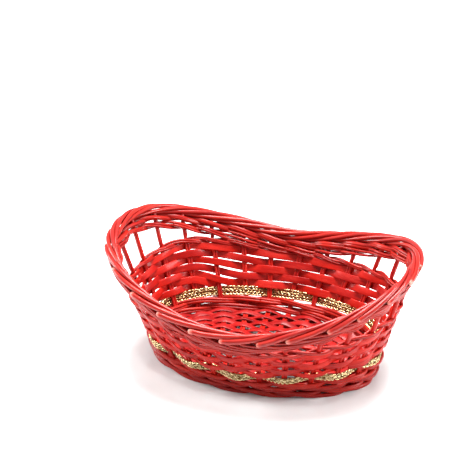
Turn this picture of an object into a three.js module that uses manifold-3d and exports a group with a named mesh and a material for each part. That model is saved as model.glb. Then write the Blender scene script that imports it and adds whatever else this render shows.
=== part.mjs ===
import * as THREE from 'three';
import { mergeVertices } from 'three/addons/utils/BufferGeometryUtils.js';
import Module from 'manifold-3d';

const wasm = await Module();
wasm.setup();

// An oval wicker basket with a dipped rim and a handle opening at each end.
// Millimetres, +Z up, +X along the basket. The origin is on the ground below its middle.

// Overall size, outside the rolled border
const length = 380;
const width = 280;
const height = 160;
const sideHeight = 109;

// Oval where the wall meets the ground, and how square the two ovals are
const footLength = 272;
const footWidth = 152;
const rimPower = 2.22;
const footPower = 2.15;
const dipPower = 1.4;

// Stakes: each is a pair of thin rods side by side, and single above the upper wale
const stakeCount = 26;
const firstStakeShare = 0.2;
const stakeWidth = 6.4;
const stakeThickness = 3.2;
const stakeTipWidth = 4.2;
const stakeTipThickness = 2.4;
const stakeNeck = 4;
const stakeBend = 4;
const stakeFootEnd = 1.2;
// Stakes nearer to an end than this one stop in the floor's edge, and the others run right across
const firstCrossIndex = 3;

// Floor: crossed stakes with flat splits woven round them in ovals
const floorEdgeHeight = 15.2;
const floorCrown = 4;
const slathShare = 0.8;
const floorWeaverCount = 8;
const floorWeaverWidth = 4.2;
const floorWeaverThickness = 1.6;
const innerWeaverHalfWidth = 17;
const innerWeaverPower = 4;
const squarenessFade = 3;
const innerWeaverGap = 10;
const floorMargin = 11.5;
const endStakeWeavers = 3;
const floorHold = 2.9;
const largestSag = 1.2;

// Woven pieces of the wall
const chipThickness = 1.4;
const chipRows = 5;
const chipGap = 1;
const chipGapAtEnds = 0.6;
const shortChipRows = 2;
const chipTipShare = 0.6;
const braidWidth = 10;
const braidThickness = 2.4;
const lowerRod = 3.4;
const upperRod = 2.3;
const underRimRod = 2.5;
const rimWaleRod = 3;
const borderThickness = 14;
const borderRod = 4.8;
const borderRods = 3;

// Heights of the rows up the slope of the wall, from the ground
const lowerWaleRises = [3.45, 10.7, 20.6, 27.9];
const braidRise = 38.7;
const braidToChipGap = 0.9;
const chipToWaleGap = 3;
const upperWaleToUnderRim = 6.55;
// Depths of the two rows below the middle of the border, at the sides and at the ends
const rimWaleDepth = 12.7;
const rimWaleDepthAtEnds = 11;
const underRimDepth = 19.7;
const underRimDepthAtEnds = 21.5;
// The rows stay raised this many stakes from each end, and are level past so many more
const raisedStakeCount = 2.8;
const slopingStakeCount = 3.5;
// The short rows reach this many stakes from each end, lowest first
const shortRowStakeCounts = [4.3, 3.4];

// Indices of the stakes at which the woven pieces start and end
const braidStartIndex = 1;
const chipStartIndices = [21, 22];
const upperWaleStartIndex = 5;
const underRimStartIndex = 9;
const rimWaleStartIndex = 15;
const borderStartIndex = 4;

// Gaps
const clearance = 0.6;
const strandGap = 0.3;
const seamShare = 0.012;
const holdShare = 0.12;

// Fineness of the solids
const flatSides = 4;
const rodSides = 4;
const borderSides = 5;
const stakeSides = 6;
const bendSteps = 2;
const crossRunSteps = 4;
const longRunSteps = 10;
const searchSteps = 24;
const planSteps = 40;
const mergeDistance = 0.0001;
const probeShare = 0.01;
// A four-sided rod has its corners this far out, so that it is about as thick as a round one
const squareShare = 1.08;

const rimHalfLength = (length - borderThickness) / 2;
const rimHalfWidth = (width - borderThickness) / 2;
const rimHighest = height - borderThickness / 2;
const rimLowest = sideHeight - borderThickness / 2;
const borderTwistRadius = (borderThickness - borderRod) / 2;

// The flat rows share out the slope that the other rows leave at the lowest place of the rim
const sideSlope = Math.hypot(rimHalfWidth - footWidth / 2, rimLowest);
const belowChips = braidRise + braidWidth / 2 + braidToChipGap;
const aboveChips = chipToWaleGap + upperWaleToUnderRim + underRimDepth;
const chipPitch = (sideSlope - belowChips - aboveChips + chipGap) / chipRows;
const chipWidth = chipPitch - chipGap;
const firstChipRise = belowChips + chipWidth / 2;
const chipPitchAtEnds = chipWidth + chipGapAtEnds;

const halfCount = stakeCount / 2;
const up = new THREE.Vector3(0, 0, 1);

const finishes = {
  willow_rod: { color: 0xc4302f, roughness: 0.45, metalness: 0 },
  willow_chip: { color: 0xd8282b, roughness: 0.5, metalness: 0 },
  floor_willow: { color: 0xb5262a, roughness: 0.55, metalness: 0 },
  gold_braid: { color: 0xb8924a, roughness: 0.4, metalness: 0.7 },
};

const basket = new THREE.Group();
basket.name = 'oval_wicker_basket';

function addPiece(name, geometry, finish) {
  const mesh = new THREE.Mesh(geometry, new THREE.MeshStandardMaterial(finishes[finish]));
  mesh.name = name;
  basket.add(mesh);
}

// Ovals and the wall between them

function ovalPoint(angle, halfLength, halfWidth, power) {
  const x = Math.cos(angle);
  const y = Math.sin(angle);
  return new THREE.Vector3(
    halfLength * Math.sign(x) * Math.abs(x) ** (2 / power),
    halfWidth * Math.sign(y) * Math.abs(y) ** (2 / power),
    0,
  );
}

function angleOf(point, { halfLength, halfWidth, power }) {
  const x = Math.sign(point.x) * (Math.abs(point.x) / halfLength) ** (power / 2);
  const y = Math.sign(point.y) * (Math.abs(point.y) / halfWidth) ** (power / 2);
  return Math.atan2(y, x);
}

class RimPlan extends THREE.Curve {
  getPoint(t, target = new THREE.Vector3()) {
    return target.copy(ovalPoint(2 * Math.PI * t, rimHalfLength, rimHalfWidth, rimPower));
  }
}

const rimPlan = new RimPlan();
rimPlan.arcLengthDivisions = planSteps * stakeCount;

// Angle of a place counted in stakes from the +X end, so that whole numbers are the stakes
function stakeAngle(index) {
  const share = (index + firstStakeShare) / stakeCount;
  return 2 * Math.PI * rimPlan.getUtoTmapping(share - Math.floor(share));
}

// The straight line up the wall at a place: its foot, direction and length
function wallLine(index) {
  const angle = stakeAngle(index);
  const foot = ovalPoint(angle, footLength / 2, footWidth / 2, footPower);
  const rim = ovalPoint(angle, rimHalfLength, rimHalfWidth, rimPower);
  rim.z = rimLowest + (rimHighest - rimLowest) * Math.abs(Math.cos(angle)) ** dipPower;
  const slope = rim.clone().sub(foot);
  const reach = slope.length();
  return { foot, slope: slope.normalize(), reach };
}

function pointOnLine(line, rise) {
  return line.foot.clone().addScaledVector(line.slope, rise);
}

function wallFrame(index, rise) {
  const line = wallLine(index);
  const at = pointOnLine(line, rise);
  const after = pointOnLine(wallLine(index + probeShare), rise);
  const along = after.sub(pointOnLine(wallLine(index - probeShare), rise));
  const out = along.cross(line.slope).normalize();
  return { at, out, slope: line.slope };
}

// How far a place is raised by the short rows: 1 at the ends and 0 along the sides
function endShare(index) {
  const place = index + firstStakeShare;
  const fromEnd = Math.abs(place - halfCount * Math.round(place / halfCount));
  return THREE.MathUtils.smoothstep(raisedStakeCount + slopingStakeCount - fromEnd, 0, slopingStakeCount);
}

function lowestChipRise(index) {
  return firstChipRise + endShare(index) * shortChipRows * chipPitchAtEnds;
}

function chipRise(row, index) {
  const pitch = THREE.MathUtils.lerp(chipPitch, chipPitchAtEnds, endShare(index));
  return lowestChipRise(index) + row * pitch;
}

function upperWaleRise(index) {
  return chipRise(chipRows - 1, index) + chipWidth / 2 + chipToWaleGap;
}

function belowBorder(sideDepth, endDepth) {
  return (index) => {
    const line = wallLine(index);
    const high = (line.slope.z * line.reach - rimLowest) / (rimHighest - rimLowest);
    return line.reach - THREE.MathUtils.lerp(sideDepth, endDepth, high);
  };
}

// Sweeps a many-sided section along stations. A station has a place, the direction that its
// thickness runs in, half its thickness and half its width.

function sweep(stations, sides, turn = 0) {
  const steps = stations.length - 1;
  const geometry = new THREE.CylinderGeometry(1, 1, steps, sides, steps, false, turn);
  const position = geometry.attributes.position;
  const frames = stations.map((station, i) => {
    const next = stations[Math.min(i + 1, steps)].at;
    const along = next.clone().sub(stations[Math.max(i - 1, 0)].at).normalize();
    const out = station.out.clone().addScaledVector(along, -station.out.dot(along)).normalize();
    return { out, side: along.cross(out) };
  });
  const corner = new THREE.Vector3();
  for (let i = 0; i < position.count; i += 1) {
    const place = Math.round(steps / 2 - position.getY(i));
    const station = stations[place];
    corner.copy(station.at);
    corner.addScaledVector(frames[place].out, position.getX(i) * station.thick);
    corner.addScaledVector(frames[place].side, position.getZ(i) * station.wide);
    position.setXYZ(i, corner.x, corner.y, corner.z);
  }
  geometry.deleteAttribute('normal');
  geometry.deleteAttribute('uv');
  const merged = mergeVertices(geometry, mergeDistance);
  merged.computeVertexNormals();
  return merged;
}

function toSolid(geometry) {
  const shell = geometry.clone();
  shell.deleteAttribute('normal');
  shell.deleteAttribute('uv');
  const merged = mergeVertices(shell, mergeDistance);
  const vertProperties = new Float32Array(merged.attributes.position.array);
  const triVerts = new Uint32Array(merged.index.array);
  return new wasm.Manifold(new wasm.Mesh({ numProp: 3, vertProperties, triVerts }));
}

function toGeometry(solid) {
  const mesh = solid.getMesh();
  const geometry = new THREE.BufferGeometry();
  geometry.setAttribute('position', new THREE.BufferAttribute(new Float32Array(mesh.vertProperties), 3));
  geometry.setIndex(new THREE.BufferAttribute(new Uint32Array(mesh.triVerts), 1));
  geometry.computeVertexNormals();
  return geometry;
}

const ground = new THREE.BoxGeometry(length, width, height);
ground.translate(0, 0, -height / 2);
const groundSolid = toSolid(ground);

function cutFlat(geometry) {
  return toGeometry(toSolid(geometry).subtract(groundSolid));
}

// Flat rows: each runs outside one stake and inside the next, and lies flat on both

const flatTurn = Math.PI / flatSides;
const flatCorner = 1 / Math.cos(flatTurn);

function flatStation(index, rise, offset, thickness, wideness) {
  const frame = wallFrame(index, rise);
  return {
    at: frame.at.addScaledVector(frame.out, offset),
    out: frame.out,
    thick: flatCorner * thickness / 2,
    wide: flatCorner * wideness / 2,
  };
}

function flatRow({ from, to, outsideEven, rise, thickness, wideness, tipShare = 1 }) {
  const stations = [];
  const offset = stakeThickness / 2 + thickness / 2 + clearance;
  const addStation = (index) => {
    const outside = (Math.round(index) % 2 === 0) === outsideEven;
    const fromTip = Math.min(index - from, to - index);
    const share = THREE.MathUtils.lerp(tipShare, 1, Math.min(1, fromTip));
    stations.push(flatStation(index, rise(index), outside ? offset : -offset, thickness, share * wideness));
  };
  addStation(from);
  for (let stake = Math.floor(from); stake <= Math.ceil(to); stake += 1) {
    for (const index of [stake - holdShare, stake + holdShare]) {
      if (index > from && index < to) addStation(index);
    }
  }
  addStation(to);
  return sweep(stations, flatSides, flatTurn);
}

function fullFlatRow(start, outsideEven, rise, thickness, wideness) {
  const from = start + seamShare;
  const to = start + stakeCount - seamShare;
  return flatRow({ from, to, outsideEven, rise, thickness, wideness });
}

// Round strands: they cross between the stakes, one above the other

const rodTurn = Math.PI / rodSides;

function strandStations({ start, rise, radius, place }) {
  const stations = [];
  const steps = 2 * stakeCount;
  for (let step = 0; step <= steps; step += 1) {
    const seam = (step === 0 ? seamShare : 0) - (step === steps ? seamShare : 0);
    const index = start + step / 2 + seam;
    const frame = wallFrame(index, rise(index));
    const { outward, upward } = place(start + step / 2);
    frame.at.addScaledVector(frame.out, outward).addScaledVector(frame.slope, upward);
    stations.push({ at: frame.at, out: frame.out, thick: radius, wide: radius });
  }
  return stations;
}

function addPairing(name, { start, rise, rod, stakeSize, onGround = false }) {
  const radius = rod / 2;
  const swing = stakeSize / 2 + radius + clearance;
  const drop = radius + strandGap;
  for (const [suffix, side] of [['a', 1], ['b', -1]]) {
    const place = (index) => ({
      outward: side * swing * Math.cos(Math.PI * index),
      upward: side * drop * Math.sin(Math.PI * index),
    });
    const first = side > 0 ? start : start + 1;
    const stations = strandStations({ start: first, rise, radius: squareShare * radius, place });
    const strand = sweep(stations, rodSides, rodTurn);
    addPiece(`${name}_rod_${suffix}`, onGround ? cutFlat(strand) : strand, 'willow_rod');
  }
}

// Floor

const floorHalfLength = footLength / 2 + (rimHalfLength - footLength / 2) * (floorEdgeHeight / rimHighest);
const floorHalfWidth = footWidth / 2 + (rimHalfWidth - footWidth / 2) * (floorEdgeHeight / rimLowest);

function floorHeight(point) {
  const spread = (point.x / floorHalfLength) ** 2 + (point.y / floorHalfWidth) ** 2;
  return floorEdgeHeight + floorCrown * Math.max(0, 1 - spread);
}

function onFloor(point, lift = 0) {
  return new THREE.Vector3(point.x, point.y, floorHeight(point) + lift);
}

function floorEdge(index) {
  const line = wallLine(index);
  const rise = floorEdgeHeight / line.slope.z;
  return { at: pointOnLine(line, rise), rise, line };
}

function towards(from, to, distance) {
  return from.clone().addScaledVector(to.clone().sub(from).setZ(0).normalize(), distance);
}

const slathHalfLength = slathShare * Math.abs(floorEdge(firstCrossIndex).at.x) + stakeWidth;
const longStakeLift = stakeThickness + strandGap;

// The long stake lies over the cross stakes and comes down to the floor's edge
function longLift(point) {
  const rampEnd = floorHalfLength - floorMargin;
  const ramp = (rampEnd - Math.abs(point.x)) / (rampEnd - slathHalfLength);
  return longStakeLift * THREE.MathUtils.clamp(ramp, 0, 1);
}

// A stake's run over the floor, from the edge at one index to the edge at the other
function floorRun(from, to, middle, steps, liftAt) {
  const start = towards(floorEdge(from).at, middle, stakeBend);
  const end = towards(floorEdge(to).at, middle, stakeBend);
  const curve = new THREE.CatmullRomCurve3([start, middle, end]);
  const pointAt = (share) => {
    const point = curve.getPoint(share);
    return onFloor(point, liftAt(point));
  };
  return { pointAt, steps };
}

// Ovals that the floor's weavers follow, counted from the innermost

const innerHalfLength = slathHalfLength + innerWeaverGap;

function weaverSize(row) {
  const share = row / (floorWeaverCount - 1);
  return {
    halfLength: THREE.MathUtils.lerp(innerHalfLength, floorHalfLength - floorMargin, share),
    halfWidth: THREE.MathUtils.lerp(innerWeaverHalfWidth, floorHalfWidth - floorMargin, share),
    power: THREE.MathUtils.lerp(footPower, innerWeaverPower, (1 - share) ** squarenessFade),
  };
}

function insideOval(point, { halfLength, halfWidth, power }) {
  return (Math.abs(point.x) / halfLength) ** power + (Math.abs(point.y) / halfWidth) ** power < 1;
}

function crossing(run, size) {
  let outer = 0;
  let inner = 1;
  for (let step = 0; step < searchSteps; step += 1) {
    const middle = (outer + inner) / 2;
    if (insideOval(run.pointAt(middle), size)) inner = middle;
    else outer = middle;
  }
  return run.pointAt(outer);
}

const noLift = () => 0;
const runs = [];
const crossStakes = [];
const crossCount = halfCount - 2 * firstCrossIndex + 1;

for (let i = 0; i < crossCount; i += 1) {
  const back = firstCrossIndex + i;
  const front = stakeCount - back;
  const middle = floorEdge(back).at.add(floorEdge(front).at).multiplyScalar(slathShare / 2);
  const run = floorRun(front, back, middle, crossRunSteps, noLift);
  runs[front] = { pointAt: (share) => run.pointAt(share / 2), liftAt: noLift };
  runs[back] = { pointAt: (share) => run.pointAt(1 - share / 2), liftAt: noLift };
  crossStakes.push({ front, back, run });
}

const longRun = floorRun(halfCount, 0, new THREE.Vector3(), longRunSteps, longLift);
runs[halfCount] = { pointAt: (share) => longRun.pointAt(share / 2), liftAt: longLift };
runs[0] = { pointAt: (share) => longRun.pointAt(1 - share / 2), liftAt: longLift };

// The end stakes' legs stop between two weavers
const endStakeRow = floorWeaverCount - endStakeWeavers - 0.5;
const endStakes = [];
for (const centre of [0, halfCount]) {
  for (let step = 1 - firstCrossIndex; step < firstCrossIndex; step += 1) {
    if (step === 0) continue;
    const index = (centre + step + stakeCount) % stakeCount;
    const edge = floorEdge(index).at;
    const hub = new THREE.Vector3(Math.sign(edge.x) * (floorHalfLength - floorHalfWidth), 0, 0);
    const start = towards(edge, hub, stakeBend);
    const leg = { pointAt: (share) => start.clone().lerp(hub, share) };
    const legEnd = crossing(leg, weaverSize(endStakeRow));
    const pointAt = (share) => onFloor(start.clone().lerp(legEnd, share));
    runs[index] = { pointAt, liftAt: noLift, short: true };
    endStakes.push(index);
  }
}

// Stakes: up the wall, round a small bend and over the floor

function uprightStations(index) {
  const edge = floorEdge(index);
  const neck = upperWaleRise(index);
  const tip = { thick: stakeTipThickness / 2, wide: stakeTipWidth / 2 };
  const body = { thick: stakeThickness / 2, wide: stakeWidth / 2 };
  const places = [
    { rise: edge.line.reach, ...tip },
    { rise: neck + stakeNeck, ...tip },
    { rise: neck, ...body },
    { rise: edge.rise + stakeBend, ...body },
  ];
  return places.map(({ rise, thick, wide }) => {
    const frame = wallFrame(index, rise);
    return { at: frame.at, out: frame.out, thick, wide };
  });
}

function bendStations(index) {
  const edge = floorEdge(index);
  const top = pointOnLine(edge.line, edge.rise + stakeBend);
  const bend = new THREE.QuadraticBezierCurve3(top, edge.at, runs[index].pointAt(0));
  const outWall = wallFrame(index, edge.rise).out;
  const down = up.clone().negate();
  const stations = [];
  for (let step = 1; step <= bendSteps; step += 1) {
    const share = step / bendSteps;
    const out = outWall.clone().lerp(down, share).normalize();
    stations.push({ at: bend.getPoint(share), out, thick: stakeThickness / 2, wide: stakeWidth / 2 });
  }
  return stations;
}

function floorStation(at) {
  return { at, out: up.clone().negate(), thick: stakeThickness / 2, wide: stakeWidth / 2 };
}

function footStub(index) {
  const top = floorEdge(index).rise + stakeBend;
  const stations = [stakeFootEnd, top].map((rise) => {
    const frame = wallFrame(index, rise);
    const shrunk = stakeThickness / 2 - strandGap / 2;
    return { at: frame.at, out: frame.out, thick: shrunk, wide: stakeWidth / 2 - strandGap / 2 };
  });
  return toSolid(sweep(stations, stakeSides));
}

function stakeGeometry(stations, indices) {
  const body = toSolid(sweep(stations, stakeSides));
  const whole = indices.reduce((solid, index) => solid.add(footStub(index)), body);
  return toGeometry(whole);
}

function throughStake(from, to, run) {
  const stations = [...uprightStations(from), ...bendStations(from)];
  for (let step = 1; step < run.steps; step += 1) {
    stations.push(floorStation(run.pointAt(step / run.steps)));
  }
  stations.push(...bendStations(to).reverse(), ...uprightStations(to).reverse());
  return stakeGeometry(stations, [from, to]);
}

crossStakes.forEach(({ front, back, run }, i) => {
  addPiece(`cross_stake_${i + 1}`, throughStake(front, back, run), 'willow_rod');
});
addPiece('long_stake', throughStake(halfCount, 0, longRun), 'willow_rod');
endStakes.forEach((index, i) => {
  const legEnd = floorStation(runs[index].pointAt(1));
  const stations = [...uprightStations(index), ...bendStations(index), legEnd];
  addPiece(`end_stake_${i + 1}`, stakeGeometry(stations, [index]), 'willow_rod');
});

// Floor weavers: each goes over one stake and under the next

function ovalTangent(point, { halfLength, halfWidth, power }) {
  const x = Math.sign(point.x) * Math.abs(point.x / halfLength) ** (power - 1) / halfLength;
  const y = Math.sign(point.y) * Math.abs(point.y / halfWidth) ** (power - 1) / halfWidth;
  return new THREE.Vector3(-y, x, 0).normalize();
}

function floorWeaver(row) {
  const size = weaverSize(row);
  const withEnds = row >= floorWeaverCount - endStakeWeavers;
  const crossed = runs.filter((run) => withEnds || !run.short);
  const swing = stakeThickness / 2 + floorWeaverThickness / 2 + clearance;
  const thick = flatCorner * floorWeaverThickness / 2;
  const wide = flatCorner * floorWeaverWidth / 2;
  const stations = [];
  const addStation = (point, lift) => stations.push({ at: onFloor(point, lift), out: up, thick, wide });
  for (let k = 0; k <= crossed.length; k += 1) {
    const run = crossed[k % crossed.length];
    const point = crossing(run, size);
    const tangent = ovalTangent(point, size);
    const lift = run.liftAt(point) + (k % 2 === row % 2 ? swing : -swing);
    const last = stations.at(-1);
    if (last) {
      const turn = angleOf(point, size) - angleOf(last.at, size);
      const half = angleOf(last.at, size) + THREE.MathUtils.euclideanModulo(turn, 2 * Math.PI) / 2;
      const bow = ovalPoint(half, size.halfLength, size.halfWidth, size.power);
      const chord = last.at.clone().add(point).divideScalar(2).setZ(0);
      if (bow.distanceTo(chord) > largestSag) addStation(bow, 0);
    }
    const before = k === 0 ? strandGap : -floorHold;
    const after = k === crossed.length ? -strandGap : floorHold;
    for (const shift of [before, after]) {
      addStation(point.clone().addScaledVector(tangent, shift), lift);
    }
  }
  return sweep(stations, flatSides, flatTurn);
}

for (let row = 0; row < floorWeaverCount; row += 1) {
  addPiece(`floor_weaver_${row + 1}`, floorWeaver(row), 'floor_willow');
}

// Wall, from the ground up

lowerWaleRises.forEach((rise, row) => {
  addPairing(`lower_wale_${row + 1}`, {
    start: 2 * row + 1,
    rise: () => rise,
    rod: lowerRod,
    stakeSize: stakeThickness,
    onGround: row === 0,
  });
});

const band = fullFlatRow(braidStartIndex, false, () => braidRise, braidThickness, braidWidth);
addPiece('gold_braid_band', band, 'gold_braid');

for (let row = 0; row < chipRows; row += 1) {
  const start = chipStartIndices[row % chipStartIndices.length];
  const rise = (index) => chipRise(row, index);
  const strip = fullFlatRow(start, row % 2 === 0, rise, chipThickness, chipWidth);
  addPiece(`chip_row_${row + 1}`, strip, 'willow_chip');
}

for (const [side, centre] of [['right', stakeCount], ['left', halfCount]]) {
  for (let row = 0; row < shortChipRows; row += 1) {
    const from = centre - firstStakeShare - shortRowStakeCounts[row];
    const to = centre - firstStakeShare + shortRowStakeCounts[row];
    const fromTop = shortChipRows - row;
    const rise = row === 0
      ? () => firstChipRise
      : (index) => lowestChipRise(index) - fromTop * chipPitchAtEnds;
    const geometry = flatRow({
      from,
      to,
      outsideEven: row % 2 === 0,
      rise,
      thickness: chipThickness,
      wideness: chipWidth,
      tipShare: chipTipShare,
    });
    addPiece(`short_chip_row_${side}_${row + 1}`, geometry, 'willow_chip');
  }
}

addPairing('upper_wale', {
  start: upperWaleStartIndex,
  rise: upperWaleRise,
  rod: upperRod,
  stakeSize: stakeThickness,
});
addPairing('under_rim_wale', {
  start: underRimStartIndex,
  rise: belowBorder(underRimDepth, underRimDepthAtEnds),
  rod: underRimRod,
  stakeSize: stakeTipThickness,
});
addPairing('rim_wale', {
  start: rimWaleStartIndex,
  rise: belowBorder(rimWaleDepth, rimWaleDepthAtEnds),
  rod: rimWaleRod,
  stakeSize: stakeTipThickness,
});

// Border: three thick rods rolled round the stake tips, a third of a turn from stake to stake

for (let rod = 0; rod < borderRods; rod += 1) {
  const place = (index) => {
    const angle = Math.PI / 2 + (2 * Math.PI / borderRods) * (index + rod);
    return {
      outward: borderTwistRadius * Math.cos(angle),
      upward: borderTwistRadius * Math.sin(angle),
    };
  };
  const stations = strandStations({
    start: borderStartIndex,
    rise: (index) => wallLine(index).reach,
    radius: borderRod / 2,
    place,
  });
  addPiece(`border_rod_${rod + 1}`, sweep(stations, borderSides), 'willow_rod');
}

export default basket;
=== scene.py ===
import math
from random import Random

import bmesh
import bpy
import numpy as np
from bpy.props import FloatProperty, FloatVectorProperty, IntProperty, PointerProperty
from bpy.types import Operator, Panel, PropertyGroup
from mathutils import Matrix, Vector


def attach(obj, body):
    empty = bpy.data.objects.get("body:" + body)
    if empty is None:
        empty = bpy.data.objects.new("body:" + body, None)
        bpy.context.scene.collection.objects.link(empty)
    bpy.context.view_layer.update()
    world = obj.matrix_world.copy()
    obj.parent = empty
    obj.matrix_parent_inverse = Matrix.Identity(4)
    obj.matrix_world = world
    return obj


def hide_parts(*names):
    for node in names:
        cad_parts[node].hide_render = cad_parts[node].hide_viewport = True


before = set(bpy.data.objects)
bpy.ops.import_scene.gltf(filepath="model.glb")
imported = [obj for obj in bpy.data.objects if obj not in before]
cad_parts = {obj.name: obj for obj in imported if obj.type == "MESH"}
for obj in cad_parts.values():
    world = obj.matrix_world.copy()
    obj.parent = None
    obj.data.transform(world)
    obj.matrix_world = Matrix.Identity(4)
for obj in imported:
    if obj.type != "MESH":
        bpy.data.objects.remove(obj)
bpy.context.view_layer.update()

bl_info = {
    "name": "Oval Wicker Basket",
    "version": (1, 0, 0),
    "blender": (4, 5, 0),
    "location": "View3D > Sidebar > Basket",
    "description": "Weaves an oval willow basket with a rolled border and a band of gold braid",
    "category": "Add Mesh",
}

# The basket's form in metres, close to the part's source
STAKE_COUNT = 26
HALF_COUNT = STAKE_COUNT // 2
FIRST_STAKE_SHARE = 0.2
RIM_HALF_LENGTH = 0.183
RIM_HALF_WIDTH = 0.133
RIM_POWER = 2.26
RIM_HIGHEST = 0.153
RIM_LOWEST = 0.102
DIP_POWER = 1.4
FOOT_HALF_LENGTH = 0.1345
FOOT_HALF_WIDTH = 0.078
FOOT_POWER = 2.05

STAKE_BEND = 0.004
STAKE_LEAN = 0.07
STAKE_FOOT_END = 0.0012
FIRST_CROSS = 3
SLATH_SHARE = 0.8
STAKE_PAIR_WIDTH = 0.0064

FLOOR_EDGE_HEIGHT = 0.0172
FLOOR_CROWN = 0.004
FLOOR_MARGIN = 0.0068
FLOOR_WEAVERS = 8
INNER_WEAVER_HALF_WIDTH = 0.017
INNER_WEAVER_POWER = 4
INNER_WEAVER_GAP = 0.01
SQUARENESS_FADE = 3
END_STAKE_WEAVERS = 3

CHIP_ROWS = 5
CHIP_PITCH = 0.0091
CHIP_PITCH_AT_ENDS = 0.0084
CHIP_NARROWING = (0.10, 0.07)
FIRST_CHIP_RISE = 0.0485
SHORT_CHIP_ROWS = 2
BRAID_RISE = 0.039
LOWER_WALE_RISES = (0.0035, 0.0110, 0.0208, 0.0290)
ROWS_TILT = (0.001, 0.004)
FOOT_SHIFT = (0.0035, -0.0035)

# What the short rows do at the right end and at the left one, in stakes and metres
SHORT_ROW_REACH = ((2.4, 1.4), (3.25, 3.75))
SHORT_ROW_WIDTH = (0.78, 0.95)
SHORT_ROW_ABOVE_BRAID = 0.0098
END_RAISE = (0.0130, 0.0168)
RAISED_STAKES = (0.4, 2.6)
SLOPING_STAKES = ((3.6, 4.6), (1.8, 3.7))
END_DIP = (0.0, 0.007)
END_DIP_STAKES = 2.9
HANDLE_STAKES = 4.9
UPPER_WALE_ABOVE_CHIPS = 0.0076
RIM_WALE_DEPTHS = (0.0088, 0.0100, 0.0100)
UNDER_RIM_DEPTHS = (0.0134, 0.0158, 0.0174)
UNDER_RIM_EASE = 4
UNDER_RIM_SAG = 0.0026
TAIL_DEPTHS = (0.020, 0.010)
BORDER_CLOSER_AT_ENDS = 0.12
BORDER_THINNER_AT_ENDS = 0.14

STRAND_UV = "strand"
STRAND_TONE = "tone"
# Pale cut wood at a butt, lightened further as a painted highlight
CUT_END_AND_HIGHLIGHT_TONE = (0.78, 0.34, 0.27)


# Sizes and colours that a maker would change

def metres(name, description, default):
    return FloatProperty(name=name, description=description, default=default, unit="LENGTH")


def tint(name, description, default):
    return FloatVectorProperty(
        name=name, description=description, default=default, size=3, subtype="COLOR")


class BasketWillow(PropertyGroup):
    stake_rod: metres("Stake rod", "Diameter of each rod in a stake pair", 0.0036)
    handle_rod: metres("Handle rod", "Diameter of the single rods across the handle gaps", 0.0060)
    floor_split_width: metres("Floor split width", "Width of the split willow in the floor", 0.0086)
    floor_split_thickness: metres(
        "Floor split thickness", "Thickness of the split willow in the floor", 0.0015)
    floor_swing: metres("Floor swing", "How far a floor split rises over a stake", 0.0031)
    lower_rod: metres("Lower wale rod", "Diameter of the rods between the ground and the braid", 0.0042)
    chip_width: metres("Chip width", "Width of the flat strips round the wall", 0.0097)
    chip_thickness: metres("Chip thickness", "Thickness of the flat strips round the wall", 0.0013)
    chip_swing: metres("Chip swing", "How far a strip stands out over a stake", 0.0030)
    upper_rod: metres("Upper wale rod", "Diameter of the rods under the handle gaps", 0.0034)
    under_rim_rod: metres("Under-rim rod", "Diameter of the rods over the handle gaps", 0.0036)
    rim_rod: metres("Rim wale rod", "Diameter of the rods close under the border", 0.0054)
    border_rod: metres("Border rod", "Diameter of a border rod at its thick end", 0.0068)
    border_tail: metres("Border tail", "Diameter of the thin rods on the border's outer side", 0.0029)
    unevenness: FloatProperty(
        name="Unevenness", description="How much the strands stray from their lines",
        default=1.0, min=0.0, max=2.0, subtype="FACTOR")
    seed: IntProperty(
        name="Seed", description="Number that settles the chance in the weave", default=7)
    rod_deep: tint("Rod, deep", "Darker tone of the red rods", (0.19, 0.0035, 0.0045))
    rod_bright: tint("Rod, bright", "Lighter tone of the red rods", (0.44, 0.0125, 0.0040))
    chip_deep: tint("Chip, deep", "Darker tone of the flat strips", (0.24, 0.0033, 0.0042))
    chip_bright: tint("Chip, bright", "Lighter tone of the flat strips", (0.52, 0.0110, 0.0035))
    floor_deep: tint("Floor, deep", "Darker tone of the floor's splits", (0.15, 0.0015, 0.0022))
    floor_bright: tint("Floor, bright", "Lighter tone of the floor's splits", (0.40, 0.0055, 0.0040))
    # Pale pink of the patches: thin stain in places, and painted sheen of the varnish
    bloom_and_sheen: tint("Bloom", "Pale tone where the stain is thin on the fibres", (0.50, 0.070, 0.062))


class BasketBraid(PropertyGroup):
    cord_count: IntProperty(
        name="Cords", description="Cords side by side in the band", default=4, min=1)
    cord_pitch: metres("Cord spacing", "Distance between two cords", 0.0031)
    ply_radius: metres("Ply radius", "Radius of each of a cord's two plies", 0.00095)
    twist_radius: metres("Twist radius", "Distance of a ply from its cord's middle", 0.00074)
    lay_length: metres("Lay length", "Length of one full twist", 0.0100)
    swing: metres("Braid swing", "How far the band stands out over a stake", 0.0030)
    gold_light: tint("Gold, light", "Light tone of the metallic thread", (1.0, 0.77, 0.42))
    gold_dark: tint("Gold, dark", "Dark tone of the metallic thread", (0.13, 0.055, 0.012))


class BasketStudio(PropertyGroup):
    room: FloatProperty(
        name="Room light", description="Strength of the even white light", default=0.58, min=0.0)
    overhead: FloatProperty(
        name="Overhead light", description="Power of the soft light above", default=156.0, min=0.0)
    sides: FloatProperty(
        name="Side lights", description="Power of each soft light at the ends", default=36.0, min=0.0)
    floor_tone: FloatProperty(
        name="Floor tone", description="Lightness of the pale floor",
        default=0.88, min=0.0, max=1.0, subtype="FACTOR")


# Ovals and the wall between them

def unit(vectors):
    return vectors / np.linalg.norm(vectors, axis=-1, keepdims=True)


def dot(a, b):
    return np.sum(a * b, axis=-1, keepdims=True)


def column(values):
    return np.asarray(values, dtype=float)[..., None]


def smooth(share):
    share = np.clip(share, 0, 1)
    return share * share * (3 - 2 * share)


def signed_power(value, power):
    return np.sign(value) * np.abs(value) ** power


def rolled(level, upward, roll):
    """A direction rolled by an angle from level towards upward."""
    return level * column(np.cos(roll)) + upward * column(np.sin(roll))


def lengths_along(line):
    """The distance of each point of a line from the first, along the line."""
    return np.concatenate([[0], np.cumsum(np.linalg.norm(np.diff(line, axis=0), axis=1))])


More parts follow.
